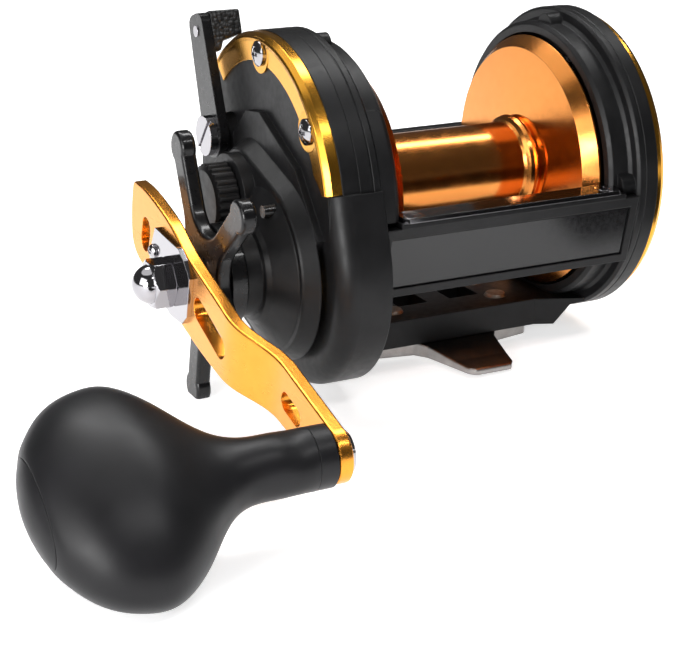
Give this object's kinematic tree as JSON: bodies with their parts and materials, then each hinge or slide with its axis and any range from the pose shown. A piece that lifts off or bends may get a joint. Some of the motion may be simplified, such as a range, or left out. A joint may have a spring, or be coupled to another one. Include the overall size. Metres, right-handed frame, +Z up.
{
  "type": "star-drag trolling reel",
  "caption": "Conventional trolling reel with gold handle arm, power knob, star drag, thumb clutch lever, side plates and line spool.",
  "frame": {"origin": "middle of the reel foot's underside, below the middle of the spool", "axes": "+Z up away from the rod seat, X along the spool axis with the handle at -X, -Y towards the rod tip where the line leaves"},
  "size_m": [0.194, 0.1557, 0.0931],
  "materials": {
    "graphite": "satin black moulded graphite",
    "gold_anodised": "satin gold-orange anodised",
    "spool_anodised": "turned, copper-orange anodised",
    "gloss_black": "gloss black coating",
    "gloss_black_plastic": "gloss black",
    "soft_black": "matte soft-touch black",
    "pad_black": "crinkled black",
    "chrome": "bright plated",
    "foot_steel": "polished stainless",
    "rivet_metal": "dull stainless",
    "deck_metal": "glossy dark plate",
    "steel": "ground",
    "brass": "machined",
    "fibre": "woven drag fibre",
    "nylon": "natural nylon",
    "spring_steel": "drawn wire"
  },
  "bodies": {
    "frame": {"handle_side_ring": "graphite", "far_side_ring": "graphite", "front_panel": "graphite", "panel_inset": "gloss_black_plastic", "deck_plate": "deck_metal", "deck_screws": "chrome", "frame_screws": "steel", "rear_bar": "graphite", "bottom_bar": "graphite", "reel_foot": "foot_steel", "foot_rivets": "rivet_metal", "handle_side_plate": "graphite", "handle_side_trim": "gold_anodised", "trim_screws": "chrome", "plate_screws": "chrome", "oil_port_plug": "gloss_black_plastic", "bridge_plate": "steel", "bridge_screws": "steel", "yoke_springs": "spring_steel", "handle_side_bearing": "steel", "far_side_bearing": "steel", "shaft_bearing": "steel", "dog_spring": "spring_steel", "cast_control_shim": "fibre", "far_side_plate": "graphite", "far_side_trim": "gold_anodised", "far_plate_screws": "chrome", "far_bearing_cap": "gloss_black", "clicker_spring": "spring_steel"},
    "handle": {"handle_shaft": "steel", "main_gear": "brass", "drag_washers": "fibre", "drag_plates": "steel", "drag_springs": "spring_steel", "drag_sleeve": "brass", "ratchet_wheel": "steel", "handle_arm": "gold_anodised", "nut_retainer": "chrome", "retainer_screw": "chrome", "handle_nut": "chrome", "knob_spindle": "chrome"},
    "star_drag": {"star_wheel": "gloss_black", "star_nut": "gloss_black"},
    "knob": {"knob_body": "soft_black", "knob_bush": "soft_black", "knob_end_cap": "soft_black"},
    "spool_assembly": {"spool": "spool_anodised", "spool_shaft": "steel", "clicker_ratchet": "nylon"},
    "yoke": {"clutch_yoke": "steel"},
    "pinion": {"pinion_gear": "brass"},
    "lever": {"clutch_lever": "gloss_black", "lever_pad": "pad_black", "lever_rivet": "chrome", "lever_screw": "chrome", "clutch_cam": "steel"},
    "cast_control": {"cast_control_cap": "graphite"},
    "clicker": {"clicker_button": "gloss_black", "clicker_tongue": "nylon"},
    "dog": {"reverse_dog": "steel"}
  },
  "joints": [
    {"name": "handle_spin", "type": "hinge", "parent": "frame", "child": "handle", "pos_m": [-0.05, -0.0153, 0.03143], "axis": [1, 0, 0], "continuous": true},
    {"name": "star_turn", "type": "hinge", "parent": "handle", "child": "star_drag", "pos_m": [-0.07, -0.0153, 0.03143], "axis": [1, 0, 0], "range_deg": [-90, 270]},
    {"name": "knob_spin", "type": "hinge", "parent": "handle", "child": "knob", "pos_m": [-0.1, -0.09, 0.0137], "axis": [1, 0, 0], "continuous": true},
    {"name": "spool_spin", "type": "hinge", "parent": "frame", "child": "spool_assembly", "pos_m": [0, 0, 0.046], "axis": [1, 0, 0], "continuous": true},
    {"name": "lever_turn", "type": "hinge", "parent": "frame", "child": "lever", "pos_m": [-0.055, 0.0182, 0.058], "axis": [1, 0, 0], "range_deg": [-40, 0]},
    {"name": "yoke_slide", "type": "slide", "parent": "frame", "child": "yoke", "axis": [-1, 0, 0], "range_m": [0, 0.0022], "deforming": ["yoke_springs"]},
    {"name": "pinion_spin", "type": "hinge", "parent": "yoke", "child": "pinion", "pos_m": [-0.05, 0, 0.046], "axis": [1, 0, 0], "continuous": true},
    {"name": "cast_control_turn", "type": "hinge", "parent": "frame", "child": "cast_control", "pos_m": [-0.063, 0, 0.046], "axis": [1, 0, 0], "range_deg": [-180, 180]},
    {"name": "clicker_slide", "type": "slide", "parent": "frame", "child": "clicker", "axis": [0, 0, -1], "range_m": [0, 0.0045]},
    {"name": "dog_swing", "type": "hinge", "parent": "frame", "child": "dog", "pos_m": [-0.043, -0.00855, 0.01974], "axis": [1, 0, 0], "range_deg": [0, 8]}
  ],
  "couplings": [
    {"joint": "spool_spin", "follows": "handle_spin", "ratio": -4},
    {"joint": "pinion_spin", "follows": "handle_spin", "ratio": -4},
    {"joint": "yoke_slide", "follows": "lever_turn", "m_per_rad": -0.00315}
  ]
}
